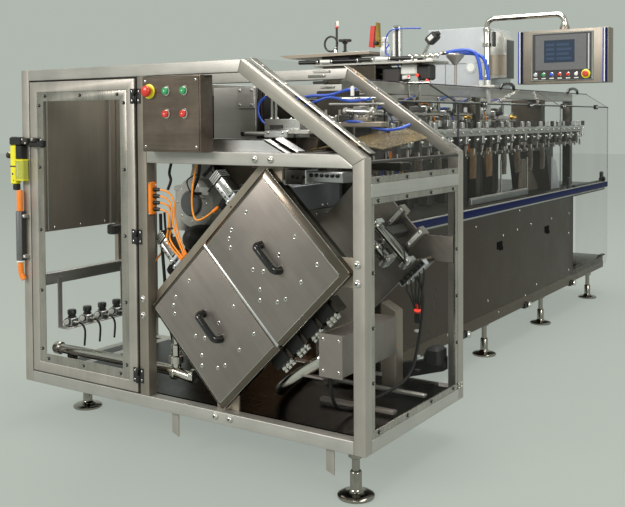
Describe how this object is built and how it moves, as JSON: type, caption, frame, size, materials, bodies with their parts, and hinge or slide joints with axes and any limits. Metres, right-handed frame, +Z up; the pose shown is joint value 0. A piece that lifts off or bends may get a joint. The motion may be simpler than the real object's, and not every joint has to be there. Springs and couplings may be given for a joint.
{
  "type": "pouch packing machine",
  "caption": "Long stainless pouch packing machine with a glazed infeed frame, a diamond drive unit, clear guards and an operator panel on a swing arm.",
  "frame": {"origin": "on the floor under the middle of the whole machine's box", "axes": "+Z up, +Y from the glazed infeed end along the machine, +X towards the side with the operator panel"},
  "size_m": [1.914, 4.538, 2.125],
  "materials": {
    "aluminium": "satin",
    "base_steel": "brushed",
    "black_cord": "satin",
    "black_fitting": "satin",
    "black_plastic": "satin",
    "blue_hose": "satin",
    "blue_rail": "satin",
    "brushed_stainless": "brushed",
    "clear_sheet": "clear",
    "film": "clear",
    "foot_steel": "polished",
    "grey_paint": "satin",
    "orange_cord": "satin",
    "orange_plastic": "satin",
    "push_button": "gloss",
    "screen_glass": "gloss",
    "strip_steel": "brushed"
  },
  "bodies": {
    "machine": {"base_cabinet": "base_steel", "black_leads": "black_cord", "blue_hoses": "blue_hose", "blue_side_rails": "blue_rail", "body_feet": "foot_steel", "box_buttons": "push_button", "centre_post": "brushed_stainless", "cover_handles": "black_plastic", "door_switch": "black_plastic", "dosing_head": "aluminium", "drive_housing": "base_steel", "drive_mount_plate": "brushed_stainless", "end_guard": "clear_sheet", "floor_tabs": "brushed_stainless", "floor_tray": "base_steel", "frame_corner_posts": "brushed_stainless", "frame_cross_rails": "brushed_stainless", "frame_side_rails": "brushed_stainless", "front_feet": "foot_steel", "gripper_rail": "aluminium", "hinge_leaves_on_frame": "black_fitting", "hose_manifold": "aluminium", "inner_stands": "brushed_stainless", "lead_block": "orange_plastic", "left_side_panel": "base_steel", "line_housing": "brushed_stainless", "line_stations": "aluminium", "lower_cover": "brushed_stainless", "mid_rail": "brushed_stainless", "orange_leads": "orange_cord", "pendant_post": "brushed_stainless", "picking_arm": "grey_paint", "polished_pipes": "foot_steel", "pouches": "film", "push_button_box": "brushed_stainless", "rear_cabinet": "grey_paint", "rear_drive_plate": "brushed_stainless", "regulator_row": "black_plastic", "side_guards": "clear_sheet", "side_windows": "clear_sheet", "slide_cylinders": "aluminium", "sloped_tubes": "brushed_stainless", "sloped_window": "clear_sheet", "transfer_slide": "aluminium", "upper_beams": "base_steel", "upper_cover": "brushed_stainless", "upper_cross_beams": "base_steel", "upper_posts": "base_steel"},
    "door": {"door_frame": "brushed_stainless", "door_window": "clear_sheet", "door_window_strips": "strip_steel", "hinge_leaves_on_door": "black_fitting", "door_switch_key": "black_plastic"},
    "arm": {"pendant_arm": "brushed_stainless"},
    "panel": {"operator_panel": "brushed_stainless", "panel_fittings": "screen_glass"}
  },
  "joints": [
    {"name": "front_door", "type": "hinge", "parent": "machine", "child": "door", "pos_m": [-0.154, -2.18, 0.885], "axis": [0, 0, 1], "range_deg": [0, 110]},
    {"name": "arm_swivel", "type": "hinge", "parent": "machine", "child": "arm", "pos_m": [-0.075, 1.389, 2.04], "axis": [0, 0, 1], "range_deg": [-90, 30]},
    {"name": "panel_swivel", "type": "hinge", "parent": "arm", "child": "panel", "pos_m": [0.506, 1.389, 2.015], "axis": [0, 0, 1], "range_deg": [-90, 90]}
  ]
}
